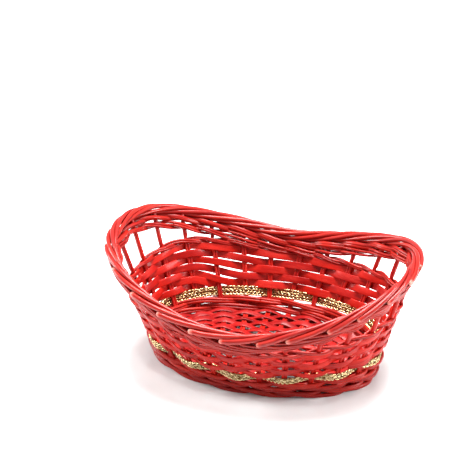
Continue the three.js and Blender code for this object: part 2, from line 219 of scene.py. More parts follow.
def oval(angle, half_length, half_width, power):
    x, y = np.cos(angle), np.sin(angle)
    return np.stack([
        half_length * signed_power(x, 2 / power),
        half_width * signed_power(y, 2 / power),
        0 * x,
    ], axis=-1)


PLAN_TURNS = np.linspace(0, 1, 40 * STAKE_COUNT + 1)
PLAN_POINTS = oval(2 * math.pi * PLAN_TURNS, RIM_HALF_LENGTH, RIM_HALF_WIDTH, RIM_POWER)
PLAN_LENGTHS = lengths_along(PLAN_POINTS)
# Stakes to each side of a place between which the wall's direction is measured
PROBE = 0.01


def stake_angle(index):
    """Angle of a place counted in stakes from the +X end, so that whole numbers are the stakes."""
    share = np.mod((index + FIRST_STAKE_SHARE) / STAKE_COUNT, 1)
    return 2 * math.pi * np.interp(share * PLAN_LENGTHS[-1], PLAN_LENGTHS, PLAN_TURNS)


def wall_line(index):
    """The straight line up the wall at each place: its foot, direction and length."""
    angle = stake_angle(index)
    foot = oval(angle, FOOT_HALF_LENGTH, FOOT_HALF_WIDTH, FOOT_POWER)
    rim = oval(angle, RIM_HALF_LENGTH, RIM_HALF_WIDTH, RIM_POWER)
    rim[..., 2] = RIM_LOWEST + (RIM_HIGHEST - RIM_LOWEST) * np.abs(np.cos(angle)) ** DIP_POWER
    reach = np.linalg.norm(rim - foot, axis=-1)
    return foot, (rim - foot) / column(reach), reach


def stake_leans(seed):
    chance = Random(seed)
    return [chance.uniform(-STAKE_LEAN, STAKE_LEAN) for _ in range(STAKE_COUNT)]


def leaned(index, rise, reach, leans):
    """The place after the stakes' small leans, which grow from nothing at the floor."""
    low = np.floor(index).astype(int)
    share = smooth(index - low)
    leans = np.asarray(leans)
    lean = leans[low % STAKE_COUNT] * (1 - share) + leans[(low + 1) % STAKE_COUNT] * share
    return index + lean * np.clip((rise - FLOOR_EDGE_HEIGHT) / (reach - FLOOR_EDGE_HEIGHT), 0, 1)


def wall_frame(index, rise, leans):
    """Points on the wall, with the directions outward and up the slope there."""
    index = np.atleast_1d(np.asarray(index, dtype=float))
    rise = np.broadcast_to(rise, index.shape)
    index = leaned(index, rise, wall_line(index)[2], leans)
    points = []
    for probe in (0, PROBE, -PROBE):
        foot, slope, _ = wall_line(index + probe)
        points.append(foot + slope * column(rise))
    slope = wall_line(index)[1]
    out = unit(np.cross(points[1] - points[2], slope))
    return points[0], out, slope


def tilted(rise, index):
    """The rows run a little higher at the back than at the front."""
    angle = stake_angle(index)
    tilt = ROWS_TILT[0] * np.cos(angle) + ROWS_TILT[1] * np.sin(angle)
    return rise + tilt * np.minimum(rise / BRAID_RISE, 1)


def nearest_end(index):
    """Stakes between a place and the nearer end, and whether that is the right end or the left."""
    place = np.asarray(index, dtype=float) + FIRST_STAKE_SHARE
    turns = np.round(place / HALF_COUNT)
    return np.abs(place - HALF_COUNT * turns), np.mod(turns, 2).astype(int)


def end_share(index, row=CHIP_ROWS - 1):
    """How far a place is raised by the short rows: 1 at the ends and 0 along the sides."""
    from_end, end = nearest_end(index)
    lowest, highest = np.array(SLOPING_STAKES)[end].T
    sloping = lowest + (highest - lowest) * row / (CHIP_ROWS - 1)
    return smooth((np.array(RAISED_STAKES)[end] + sloping - from_end) / sloping).T


def chip_rise(row, index):
    from_end, end = nearest_end(index)
    share = end_share(index, row)
    raised = share * np.array(END_RAISE)[end]
    dip = np.array(END_DIP)[end] * (1 - smooth(from_end / END_DIP_STAKES))
    packed = row * (CHIP_PITCH * (1 - share) + CHIP_PITCH_AT_ENDS * share)
    return (tilted(FIRST_CHIP_RISE, index) + raised + packed
            - dip * (row + SHORT_CHIP_ROWS) / (CHIP_ROWS - 1 + SHORT_CHIP_ROWS))


def over_handle(index):
    return float(nearest_end(index)[0] < HANDLE_STAKES)


def upper_wale_rise(index):
    return chip_rise(CHIP_ROWS - 1, index) + UPPER_WALE_ABOVE_CHIPS


def rim_share(index):
    """How high the rim stands: 0 at the dip along the sides and 1 at the ends."""
    _, slope, reach = wall_line(index)
    return (slope[..., 2] * reach - RIM_LOWEST) / (RIM_HIGHEST - RIM_LOWEST)


def below_border(depths, index, ease=1, sag=0.0):
    """A rise that keeps below the rim by depths for the sides, the right end and the left end."""
    high = rim_share(index)
    left = smooth((1 - np.cos(stake_angle(index))) / 2)
    at_ends = depths[1] + (depths[2] - depths[1]) * left
    depth = depths[0] + (at_ends - depths[0]) * (1 - (1 - high) ** ease)
    return wall_line(index)[2] - depth - sag * 4 * high * (1 - high)


# Strands

# A sway adds up so many waves, and is divided by about their highest sum
SWAY_WAVES = 5
SWAY_PEAK = 2.2
# Where the stations that round off a tip lie, in radii from its end
TIP_DEPTHS = np.array([0.0, 0.12, 0.35, 0.68])
TIP_ROUNDNESS = 0.96
# What the pale cut end, with its painted highlight, adds to a rod's tone
PALE_TONE = 2
# Each strand's grain begins at a place of its own, up to this many metres along
GRAIN_LENGTH = 9


def wander(chance, index, size, slowest=0.5, fastest=2.4):
    """A slow and seeded sway along a strand."""
    total = 0 * index
    for _ in range(SWAY_WAVES):
        pace = chance.uniform(slowest, fastest)
        total = total + np.sin(pace * index + chance.uniform(0, 2 * math.pi))
    return size * total / SWAY_PEAK


def rounded_tips(line, facing, thick, wide):
    """Adds stations at both ends, so that a cut rod ends in a rubbed, rounded butt."""
    shrink = np.sqrt(1 - (1 - TIP_DEPTHS) ** 2 * TIP_ROUNDNESS)

    def tip(end, inner):
        step = line[inner] - line[end]
        share = thick[end] * TIP_DEPTHS / np.linalg.norm(step)
        return (line[end] + column(share) * step, np.repeat(facing[[end]], len(shrink), axis=0),
                thick[end] * shrink, wide[end] * shrink)
    return [np.concatenate([first, body[1:-1], last[::-1]])
            for first, body, last in zip(tip(0, 1), (line, facing, thick, wide), tip(-1, -2))]


def lay_strand(bm, line, facing, thick, wide, sides, tone, shift=0.0, fullness=2.0,
               rounded=False, pale_length=0.0):
    """Lays one strand in the mesh. Its thickness runs along facing, and fullness 2 is a round rod."""
    thick = np.broadcast_to(thick, len(line)).astype(float)
    wide = np.broadcast_to(wide, len(line)).astype(float)
    if rounded:
        line, facing, thick, wide = rounded_tips(line, facing, thick, wide)
    count = len(line)
    along = unit(np.gradient(line, axis=0))
    out = unit(facing - along * dot(facing, along))
    side = np.cross(along, out)
    angles = 2 * math.pi * np.arange(sides + 1) / sides
    across = signed_power(np.cos(angles), 2 / fullness)
    upward = signed_power(np.sin(angles), 2 / fullness)
    rings = (line[:, None, :]
             + (out * column(thick))[:, None, :] * across[None, :, None]
             + (side * column(wide))[:, None, :] * upward[None, :, None])
    rings[:, -1] = rings[:, 0]

    grid = bmesh.ops.create_grid(bm, x_segments=sides, y_segments=count - 1, size=1, calc_uvs=True)
    uv = bm.loops.layers.uv[STRAND_UV]
    tone_layer = bm.verts.layers.float[STRAND_TONE]
    lengths = lengths_along(line)
    tones = np.full(count, float(tone))
    if pale_length:
        tones += PALE_TONE * np.clip(1 - lengths / pale_length, 0, 1)
    for vert, place, value in zip(grid["verts"], rings.reshape(-1, 3), np.repeat(tones, sides + 1)):
        vert.co = place
        vert[tone_layer] = value
    girth = math.pi * float(np.mean(thick) + np.mean(wide))
    for face in {face for vert in grid["verts"] for face in vert.link_faces}:
        for loop in face.loops:
            share = loop[uv].uv
            station = lengths[min(count - 1, round(share.y * (count - 1)))]
            loop[uv].uv = (station + shift, share.x * girth)
    bmesh.ops.remove_doubles(bm, verts=grid["verts"], dist=1e-7)
    rims = {edge for vert in grid["verts"] if vert.is_valid for edge in vert.link_edges
            if edge.is_boundary}
    bmesh.ops.holes_fill(bm, edges=list(rims), sides=0)


def lay_rod(bm, chance, line, facing, radius, sides, pale_length=0.0):
    """Lays a round rod with rounded tips, in a tone and a stretch of grain of its own."""
    lay_strand(bm, line, facing, radius, radius, sides, chance.random(),
               chance.uniform(0, GRAIN_LENGTH), rounded=True, pale_length=pale_length)


def lay_split(bm, chance, line, facing, thickness, half_width, fullness):
    """Lays flat split willow, in a tone and a stretch of grain of its own."""
    lay_strand(bm, line, facing, thickness / 2, half_width, 12, chance.random(),
               chance.uniform(0, GRAIN_LENGTH), fullness)


# The foot stands a little to the right and forward of the rim
FOOT_SHEAR = Matrix((
    (1, 0, -FOOT_SHIFT[0] / RIM_HIGHEST, FOOT_SHIFT[0]),
    (0, 1, -FOOT_SHIFT[1] / RIM_HIGHEST, FOOT_SHIFT[1]),
    (0, 0, 1, 0),
    (0, 0, 0, 1),
))


def new_piece():
    bm = bmesh.new()
    bm.loops.layers.uv.new(STRAND_UV)
    bm.verts.layers.float.new(STRAND_TONE)
    return bm


def finish_piece(context, bm, name, material, nodes):
    """Closes a piece's mesh, gives it its finish and its place on the frame."""
    if not bm.faces:
        bm.free()
        raise RuntimeError(f"{name} has no faces")
    bmesh.ops.transform(bm, matrix=FOOT_SHEAR, verts=bm.verts)
    bmesh.ops.recalc_face_normals(bm, faces=bm.faces)
    for face in bm.faces:
        face.smooth = True
    mesh = bpy.data.meshes.new(name)
    bm.to_mesh(mesh)
    bm.free()
    mesh.materials.append(material)
    piece = bpy.data.objects.new(name, mesh)
    context.scene.collection.objects.link(piece)
    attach(piece, "root")
    if nodes:
        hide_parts(*nodes)


# The floor and the stakes' runs over it

FLOOR_HALF_LENGTH = FOOT_HALF_LENGTH + (
    (RIM_HALF_LENGTH - FOOT_HALF_LENGTH) * FLOOR_EDGE_HEIGHT / RIM_HIGHEST)
FLOOR_HALF_WIDTH = FOOT_HALF_WIDTH + (
    (RIM_HALF_WIDTH - FOOT_HALF_WIDTH) * FLOOR_EDGE_HEIGHT / RIM_LOWEST)
# Times that the search for a crossing halves the way
CROSSING_HALVINGS = 24


def on_floor(points, lift=0.0):
    spread = (points[..., 0] / FLOOR_HALF_LENGTH) ** 2 + (points[..., 1] / FLOOR_HALF_WIDTH) ** 2
    placed = np.array(points, dtype=float)
    placed[..., 2] = FLOOR_EDGE_HEIGHT + FLOOR_CROWN * np.clip(1 - spread, 0, None) + lift
    return placed


def floor_edge(index):
    foot, slope, _ = wall_line(np.float64(index))
    return foot + slope * FLOOR_EDGE_HEIGHT / slope[2]


def floor_edge_rise(index):
    return FLOOR_EDGE_HEIGHT / wall_line(np.float64(index))[1][2]


def towards(start, end, distance):
    step = np.array([end[0] - start[0], end[1] - start[1], 0])
    return start + distance * step / np.linalg.norm(step)


SLATH_HALF_LENGTH = SLATH_SHARE * abs(floor_edge(FIRST_CROSS)[0]) + STAKE_PAIR_WIDTH


def long_lift(x, height):
    """The long stake lies over the cross stakes and comes down to the floor's edge."""
    ramp_end = FLOOR_HALF_LENGTH - FLOOR_MARGIN
    return height * np.clip((ramp_end - np.abs(x)) / (ramp_end - SLATH_HALF_LENGTH), 0, 1)


def floor_run(start_index, end_index, middle, lift):
    """A stake's run over the floor, as a function of the share of its way."""
    start = towards(floor_edge(start_index), middle, STAKE_BEND)
    end = towards(floor_edge(end_index), middle, STAKE_BEND)

    def at(share):
        share = column(share)
        flat = (start * (1 - share) * (1 - 2 * share) + middle * 4 * share * (1 - share)
                + end * share * (2 * share - 1))
        return on_floor(flat, long_lift(flat[..., 0], lift) if lift else 0.0)
    return at


def stake_runs(long_height):
    """Every stake's run from the floor's edge inward, and the pieces that the runs belong to."""
    runs, stakes = {}, []
    for i in range(HALF_COUNT - 2 * FIRST_CROSS + 1):
        back = FIRST_CROSS + i
        front = STAKE_COUNT - back
        middle = (floor_edge(back) + floor_edge(front)) * SLATH_SHARE / 2
        run = floor_run(front, back, middle, 0)
        runs[front] = lambda share, run=run: run(share / 2)
        runs[back] = lambda share, run=run: run(1 - share / 2)
        stakes.append((f"cross_stake_{i + 1}", front, back, run))
    run = floor_run(HALF_COUNT, 0, np.zeros(3), long_height)
    runs[HALF_COUNT] = lambda share, run=run: run(share / 2)
    runs[0] = lambda share, run=run: run(1 - share / 2)
    stakes.append(("long_stake", HALF_COUNT, 0, run))
    number = 0
    for centre in (0, HALF_COUNT):
        for step in range(1 - FIRST_CROSS, FIRST_CROSS):
            if step == 0:
                continue
            number += 1
            index = (centre + step) % STAKE_COUNT
            edge = floor_edge(index)
            hub = np.array([np.sign(edge[0]) * (FLOOR_HALF_LENGTH - FLOOR_HALF_WIDTH), 0, 0])
            start = towards(edge, hub, STAKE_BEND)
            leg = lambda share, start=start, hub=hub: start + column(share) * (hub - start)
            stop = crossing(leg, weaver_size(FLOOR_WEAVERS - END_STAKE_WEAVERS - 0.5))
            run = lambda share, start=start, stop=stop: on_floor(
                start + column(share) * (stop - start))
            runs[index] = run
            stakes.append((f"end_stake_{number}", index, None, run))
    return runs, stakes


def weaver_size(row):
    """Half length, half width and power of one of the floor's ovals, 0 being the innermost."""
    share = row / (FLOOR_WEAVERS - 1)
    inner_half_length = SLATH_HALF_LENGTH + INNER_WEAVER_GAP
    return (
        inner_half_length + (FLOOR_HALF_LENGTH - FLOOR_MARGIN - inner_half_length) * share,
        INNER_WEAVER_HALF_WIDTH + (FLOOR_HALF_WIDTH - FLOOR_MARGIN - INNER_WEAVER_HALF_WIDTH) * share,
        FOOT_POWER + (INNER_WEAVER_POWER - FOOT_POWER) * min(1 - share, 1) ** SQUARENESS_FADE,
    )


def crossing(run, size):
    """Where a stake's run meets an oval of the floor."""
    outer, inner = 0.0, 1.0
    for _ in range(CROSSING_HALVINGS):
        middle = (outer + inner) / 2
        x, y = run(middle)[:2]
        if (abs(x) / size[0]) ** size[2] + (abs(y) / size[1]) ** size[2] < 1:
            inner = middle
        else:
            outer = middle
    return run(outer)


def oval_angle(point, size):
    """The angle on one of the floor's ovals at which oval() gives the point."""
    x, y = (signed_power(point[i] / size[i], size[2] / 2) for i in range(2))
    return math.atan2(y, x)


# Stakes

UPRIGHT_STATIONS = 22
BEND_STATIONS = 5
FOOT_STATIONS = 7
# Over a handle gap a pair becomes a single rod, within this height above the upper wale
NECK_HEIGHT = 0.006
NECK_OVERLAP = 0.001
STAKE_TOP_GAP = 0.0005
# How close the two rods of a pair lie, in their radii, and how they sway from station to station
PAIR_CLOSENESS = 0.86
STAKE_SWAY = 0.00015
STAKE_SWAY_STATIONS = 9
STAKE_SWELL = 0.04
# The short rods that stand on the ground lie a little further in, and are thinner
FOOT_ROD_INWARD = 0.0004
FOOT_ROD_SHARE = 0.92


def stake_half(index, run, top, leans):
    """Stations down one wall and round the bend, with each station's share of the handle gap."""
    rises = np.linspace(top, floor_edge_rise(index) + STAKE_BEND, UPRIGHT_STATIONS)
    at, out, _ = wall_frame(np.full(UPRIGHT_STATIONS, float(index)), rises, leans)
    neck = float(upper_wale_rise(np.float64(index)))
    single = smooth((rises - neck) / NECK_HEIGHT) * over_handle(index)
    share = column(np.linspace(1 / BEND_STATIONS, 1, BEND_STATIONS))
    bend = (at[-1] * (1 - share) ** 2 + 2 * floor_edge(index) * share * (1 - share)
            + run(0.0) * share ** 2)
    bend_out = unit(out[-1] * (1 - share) + np.array([0, 0, -1.0]) * share)
    return (np.concatenate([at, bend]), np.concatenate([out, bend_out]),
            np.concatenate([single, np.zeros(BEND_STATIONS)]))


def lay_stake(bm, chance, willow, start, end, run, runs, leans):
    """Lays a stake's pair of rods, and the short pair below each of its bends."""
    radius = willow.stake_rod / 2
    walls = (start,) if end is None else (start, end)
    for rod in (1, -1):
        halves = []
        for index in walls:
            top = float(wall_line(np.float64(index))[2]) - STAKE_TOP_GAP
            if rod < 0 and over_handle(index):
                top = float(upper_wale_rise(np.float64(index))) + NECK_OVERLAP
            halves.append(stake_half(index, runs[index], top, leans))
        if end is None:
            middle = run(np.linspace(0, 1, 9))[1:]
        else:
            middle = run(np.linspace(0, 1, 33))[1:-1]
        down = np.tile([0, 0, -1.0], (len(middle), 1))
        parts = [halves[0], (middle, down, np.zeros(len(middle)))]
        if end is not None:
            parts.append(tuple(values[::-1] for values in halves[1]))
        line, facing, single = (np.concatenate([part[i] for part in parts]) for i in range(3))
        along = unit(np.gradient(line, axis=0))
        side = np.cross(along, unit(facing - along * dot(facing, along)))
        place = np.arange(len(line)) / STAKE_SWAY_STATIONS
        shift = rod * radius * PAIR_CLOSENESS * (1 - single)
        line = line + side * column(shift + wander(chance, place, STAKE_SWAY))
        size = (radius * (1 + STAKE_SWELL * wander(chance, place, 1)) * (1 - single)
                + willow.handle_rod / 2 * single)
        lay_rod(bm, chance, line, facing, size, 9)
    for index in walls:
        for rod in (1, -1):
            rises = np.linspace(STAKE_FOOT_END, floor_edge_rise(index) + STAKE_BEND, FOOT_STATIONS)
            at, out, slope = wall_frame(np.full(FOOT_STATIONS, float(index)), rises, leans)
            side = np.cross(slope, out)
            lay_rod(bm, chance, at - out * FOOT_ROD_INWARD + side * rod * radius, out,
                    radius * FOOT_ROD_SHARE, 8)


class OVALBASKET_OT_stakes(Operator):
    """Lay the stake pairs across the floor and up the wall"""
    bl_idname = "oval_basket.stakes"
    bl_label = "Stakes"

    def execute(self, context):
        willow = context.scene.basket_willow
        leans = stake_leans(willow.seed)
        runs, stakes = stake_runs(willow.stake_rod)
        material = willow_material("red_willow_rod", willow)
        for number, (name, start, end, run) in enumerate(stakes):
            chance = Random(willow.seed * 100 + number)
            bm = new_piece()
            lay_stake(bm, chance, willow, start, end, run, runs, leans)
            finish_piece(context, bm, f"{name}_rods", material, [name])
        return {"FINISHED"}


# Stations from stake to stake, and how near a split's section comes to a rectangle
FLOOR_STATIONS = 10
FLOOR_FULLNESS = 4.0
# How the floor's splits stray: up and down, in their ovals' size, in roll and in width
FLOOR_STRAY_UP = 0.0002
FLOOR_STRAY_OVAL = 0.006
FLOOR_STRAY_ROLL = 0.16
FLOOR_STRAY_WIDTH = 0.07


def lay_floor_split(bm, chance, willow, runs, row):
    """Weaves one oval round over and under the stakes. Row -1 is the split's first, innermost round."""
    size = weaver_size(row)
    stray = willow.unevenness
    with_ends = row >= FLOOR_WEAVERS - END_STAKE_WEAVERS
    crossed = [i for i in sorted(runs)
               if with_ends or FIRST_CROSS <= i <= HALF_COUNT - FIRST_CROSS or i in (0, HALF_COUNT)
               or HALF_COUNT + FIRST_CROSS <= i <= STAKE_COUNT - FIRST_CROSS]
    angles, lifts = [], []
    for k in range(len(crossed) + 1):
        index = crossed[k % len(crossed)]
        point = crossing(runs[index], size)
        angle = oval_angle(point, size)
        while angles and angle < angles[-1]:
            angle += 2 * math.pi
        angles.append(angle)
        lift = willow.floor_swing if k % 2 == row % 2 else -willow.floor_swing
        over = long_lift(point[0], willow.stake_rod) if index in (0, HALF_COUNT) else 0
        lifts.append(lift + over)
    places = np.linspace(0, len(crossed), FLOOR_STATIONS * len(crossed) + 1)
    low = np.minimum(places.astype(int), len(crossed) - 1)
    share = places - low
    angles, lifts = np.array(angles), np.array(lifts)
    turned = angles[low] * (1 - share) + angles[low + 1] * share
    eased = (1 - np.cos(math.pi * share)) / 2
    lift = lifts[low] * (1 - eased) + lifts[low + 1] * eased
    lift = lift + wander(chance, places, FLOOR_STRAY_UP * stray)
    flat = oval(turned, *size)
    line = on_floor(flat, lift)
    line[:, :2] *= column(1 + wander(chance, places, FLOOR_STRAY_OVAL * stray))
    roll = wander(chance, places, FLOOR_STRAY_ROLL * stray, 0.8, 3.0)
    outward = unit(flat * np.array([1 / size[0] ** 2, 1 / size[1] ** 2, 0]))
    facing = rolled(np.array([0, 0, 1.0]), outward, roll)
    width = willow.floor_split_width / 2 * (1 + wander(chance, places, FLOOR_STRAY_WIDTH))
    lay_split(bm, chance, line, facing, willow.floor_split_thickness, width, FLOOR_FULLNESS)


class OVALBASKET_OT_floor(Operator):
    """Weave the floor's ovals over and under the stakes"""
    bl_idname = "oval_basket.floor"
    bl_label = "Floor"

    def execute(self, context):
        willow = context.scene.basket_willow
        runs, _ = stake_runs(willow.stake_rod)
        material = willow_material("red_floor_willow", willow)
        for row in range(FLOOR_WEAVERS):
            bm = new_piece()
            for round_ in (row, -1) if row == 0 else (row,):
                lay_floor_split(bm, Random(willow.seed * 200 + round_), willow, runs, round_)
            finish_piece(context, bm, f"floor_weaver_{row + 1}_split", material,
                         [f"floor_weaver_{row + 1}"])
        return {"FINISHED"}


# Round strands: each lies outside some stakes and inside as many, and they cross in between

TWINE_CRISPNESS = 1.7
WALE_STATIONS = 11
# Stakes that a wale's ends run past each other, and how far in and out they are tucked
WALE_OVERLAP = 0.4
WALE_TUCK = 0.0008
TUCK_STAKES = 0.5
# How a wale's rods stray: in and out, up and down, and in size
WALE_STRAY_OUT = 0.0002
WALE_STRAY_UP = 0.00035
WALE_STRAY_SIZE = 0.07
# A strand's two rods lie apart by this share of the given distance, and by so much more and less
ROD_SPREAD = 0.8
ROD_SPREAD_SWAY = 0.25
ROD_SPREAD_PACE = 1.9
# How far strands drop between stakes and how far apart their rods lie, in the rods' radii
LOWER_WALE_DROP = 0.8
LOWER_WALE_SPREAD = 0.85
# The same for the other wales, in the rods' diameters
UPPER_WALES_DROP = 0.55
UPPER_WALE_SPREAD = 0.40
UNDER_RIM_SPREAD = 0.45
RIM_WALE_DROP = 0.30
RIM_WALE_SPREAD = 0.20
RIM_WALE_SPREAD_RIGHT = 0.14
# What raises the lowest wale, so that it stands on the ground
GROUND_LIFT = 0.0010


def twined(index, span, phase):
    """Outward and upward shares of a twined strand that holds span stakes on each side."""
    angle = math.pi * (index - phase) / span
    outward = np.cos(angle)
    if span > 1:
        outward = np.tanh(TWINE_CRISPNESS * outward) / math.tanh(TWINE_CRISPNESS)
    return outward, -np.sin(angle)


def overlap_share(index, start, ease):
    """1 where a round of the wall ends, -1 where it starts and 0 in between."""
    return (smooth((index - start - STAKE_COUNT + TUCK_STAKES) / ease)
            - smooth((start + TUCK_STAKES - index) / ease))


def lay_round_strand(bm, chance, willow, start, rise, radius, swing, drop, phase, apart,
                     span=1, sides=9, lift=0.0):
    """Lays a wale's strand once round the wall, as two rods that lie apart up and down."""
    leans = stake_leans(willow.seed)
    stray = willow.unevenness
    index = np.linspace(
        start - WALE_OVERLAP, start + STAKE_COUNT + WALE_OVERLAP, WALE_STATIONS * STAKE_COUNT)
    outward, upward = twined(index, span, phase)
    tuck = WALE_TUCK * overlap_share(index, start, TUCK_STAKES)
    for part in (1, -1):
        at, out, slope = wall_frame(index, rise(index), leans)
        spread = ROD_SPREAD + ROD_SPREAD_SWAY * np.sin(index * ROD_SPREAD_PACE + part)
        outer = outward * swing + wander(chance, index, WALE_STRAY_OUT * stray) - tuck
        upper = (upward * drop + part * apart(index) * spread
                 + lift + wander(chance, index, WALE_STRAY_UP * stray))
        size = radius * (1 + wander(chance, index, WALE_STRAY_SIZE * stray))
        lay_rod(bm, chance, at + out * column(outer) + slope * column(upper), out, size, sides)


def press_flat(bm):
    """The lowest wale is pressed flat where it stands on the ground."""
    for vert in bm.verts:
        vert.co.z = max(vert.co.z, 0.0)


def make_wale_strand(context, material, name, suffix, seed, grounded=False, **form):
    """Makes one strand of a wale, in the place of the rod with the same letter."""
    bm = new_piece()
    lay_round_strand(bm, Random(seed), context.scene.basket_willow, **form)
    if grounded:
        press_flat(bm)
    finish_piece(context, bm, f"{name}_strand_{suffix}", material,
                 [f"{name}_rod_{suffix}"])


class OVALBASKET_OT_lower_wales(Operator):
    """Twine the round rods between the ground and the braid"""
    bl_idname = "oval_basket.lower_wales"
    bl_label = "Lower wales"

    def execute(self, context):
        willow = context.scene.basket_willow
        material = willow_material("red_willow_wale", willow)
        radius = willow.lower_rod / 2
        for row, height in enumerate(LOWER_WALE_RISES):
            for suffix, phase in (("a", 0.5), ("b", 2.5)):
                make_wale_strand(
                    context, material, f"lower_wale_{row + 1}", suffix,
                    willow.seed * 300 + 10 * row + int(phase), grounded=row == 0,
                    start=2 * row + 1, rise=lambda index, height=height: tilted(height, index),
                    radius=radius, swing=willow.stake_rod / 2 + radius,
                    drop=radius * LOWER_WALE_DROP, span=2, phase=phase + row,
                    apart=lambda index: radius * LOWER_WALE_SPREAD,
                    lift=GROUND_LIFT if row == 0 else 0.0)
        return {"FINISHED"}


# Gold braid: cords of two plies on a dark backing

BRAID_START = 1
BRAID_OVERLAP = 0.3
BRAID_STATIONS = 1300
# How the band strays in roll and up and down, and each cord up and down and in its twist
BRAID_STRAY_ROLL = 0.09
BRAID_STRAY_UP = 0.0004
CORD_STRAY = 0.00022
CORD_STRAY_TWIST = 0.5
BACKING_THICKNESS = 0.0006
BACKING_TONE = -1.5
# What the backing lacks of the cords' whole width, in cords
BACKING_MARGIN = 0.3


class OVALBASKET_OT_braid(Operator):
    """Weave the band of twisted gold cords"""
    bl_idname = "oval_basket.braid"
    bl_label = "Gold braid"

    def execute(self, context):
        willow, braid = context.scene.basket_willow, context.scene.basket_braid
        leans = stake_leans(willow.seed)
        chance = Random(willow.seed * 400)
        bm = new_piece()
        index = np.linspace(BRAID_START - BRAID_OVERLAP, BRAID_START + STAKE_COUNT + BRAID_OVERLAP,
                            BRAID_STATIONS)
        at, out, slope = wall_frame(index, tilted(BRAID_RISE, index), leans)
        swing = -braid.swing * np.cos(math.pi * index)
        roll = wander(chance, index, BRAID_STRAY_ROLL)
        facing, across = rolled(out, slope, roll), rolled(slope, -out, roll)
        middle = at + out * column(swing) + slope * column(wander(chance, index, BRAID_STRAY_UP))
        lengths = lengths_along(middle)
        for cord in range(braid.cord_count):
            place = (cord - (braid.cord_count - 1) / 2) * braid.cord_pitch
            sway = wander(chance, index, CORD_STRAY, 2.0, 6.0)
            start = chance.uniform(0, 2 * math.pi)
            hand = 1 if cord % 2 else -1
            for ply in range(2):
                turns = 2 * math.pi * lengths / braid.lay_length
                turn = (hand * (turns + wander(chance, index, CORD_STRAY_TWIST, 3, 8))
                        + math.pi * ply + start)
                line = (middle + across * column(place + sway + braid.twist_radius * np.sin(turn))
                        + facing * column(braid.twist_radius * np.cos(turn)))
                lay_strand(bm, line, out, braid.ply_radius, braid.ply_radius, 5,
                           chance.random(), chance.uniform(0, GRAIN_LENGTH))
        backing = (braid.cord_count - BACKING_MARGIN) / 2 * braid.cord_pitch
        lay_strand(bm, middle, facing, BACKING_THICKNESS / 2, backing, 8, BACKING_TONE, fullness=4.0)
        finish_piece(context, bm, "gold_braid", gold_material("gold_thread", braid),
                     ["gold_braid_band"])
        return {"FINISHED"}


# Flat strips of the wall

CHIP_STARTS = (21, 22)
CHIP_OVERLAP = 0.35
CHIP_STATIONS = 10
SHORT_CHIP_STATIONS = 90
CHIP_FULLNESS = 4.6
CHIP_WAVE_POWER = 0.9
# How far a row's two ends lie above and below its line where they overlap
CHIP_TUCK = 0.0009
CHIP_TUCK_STAKES = 0.4
# How the strips stray: in roll, in and out, up and down, and in width
CHIP_STRAY_ROLL = 0.10
CHIP_STRAY_OUT = 0.00022
CHIP_STRAY_UP = 0.0004
CHIP_STRAY_WIDTH = 0.045


def lay_chip(bm, chance, willow, leans, index, rise, outside_even, width_share):
    """Weaves one strip in and out of the stakes, outside the even ones or the odd ones."""
    sign = 1 if outside_even else -1
    stray = willow.unevenness
    at, out, slope = wall_frame(index, rise, leans)
    wave = np.cos(math.pi * index)
    swing = sign * willow.chip_swing * signed_power(wave, CHIP_WAVE_POWER)
    roll = wander(chance, index, CHIP_STRAY_ROLL * stray, 0.9, 2.6)
    facing = rolled(out, slope, roll)
    line = (at + out * column(swing + wander(chance, index, CHIP_STRAY_OUT * stray))
            + slope * column(wander(chance, index, CHIP_STRAY_UP * stray)))
    swell = wander(chance, index, CHIP_STRAY_WIDTH * stray)
    half_width = willow.chip_width / 2 * width_share * (1 + swell)
    lay_split(bm, chance, line, facing, willow.chip_thickness, half_width, CHIP_FULLNESS)


class OVALBASKET_OT_chip_rows(Operator):
    """Weave the flat strips round the wall, and the short ones at the ends"""
    bl_idname = "oval_basket.chip_rows"
    bl_label = "Chip rows"

    def execute(self, context):
        willow = context.scene.basket_willow
        leans = stake_leans(willow.seed)
        material = willow_material("red_willow_chip", willow)
        for row in range(CHIP_ROWS):
            chance = Random(willow.seed * 500 + row)
            start = CHIP_STARTS[row % 2]
            index = np.linspace(
                start - CHIP_OVERLAP, start + STAKE_COUNT + CHIP_OVERLAP, CHIP_STATIONS * STAKE_COUNT)
            over = CHIP_TUCK * overlap_share(index, start, CHIP_TUCK_STAKES)
            narrowing = np.array(CHIP_NARROWING)[nearest_end(index)[1]] * end_share(index)
            bm = new_piece()
            lay_chip(bm, chance, willow, leans, index, chip_rise(row, index) + over, row % 2 == 0,
                     1 - narrowing)
            finish_piece(context, bm, f"chip_row_{row + 1}_strip", material,
                         [f"chip_row_{row + 1}"])
        for end, (side, centre) in enumerate((("right", STAKE_COUNT), ("left", HALF_COUNT))):
            for row in range(SHORT_CHIP_ROWS):
                chance = Random(willow.seed * 600 + 10 * row + centre)
                middle = centre - FIRST_STAKE_SHARE
                reach = SHORT_ROW_REACH[end][row]
                index = np.linspace(middle - reach, middle + reach, SHORT_CHIP_STATIONS)
                rise = tilted(FIRST_CHIP_RISE, index)
                if row > 0:
                    rise = np.maximum(chip_rise(0, index) - END_RAISE[end] / SHORT_CHIP_ROWS,
                                      tilted(BRAID_RISE, index) + SHORT_ROW_ABOVE_BRAID)
                bm = new_piece()
                lay_chip(bm, chance, willow, leans, index, rise, row % 2 == 0, SHORT_ROW_WIDTH[end])
                finish_piece(context, bm, f"short_chip_row_{side}_{row + 1}_strip", material,
                             [f"short_chip_row_{side}_{row + 1}"])
        return {"FINISHED"}


def under_rim_rise(index):
    return below_border(UNDER_RIM_DEPTHS, index, UNDER_RIM_EASE, UNDER_RIM_SAG)


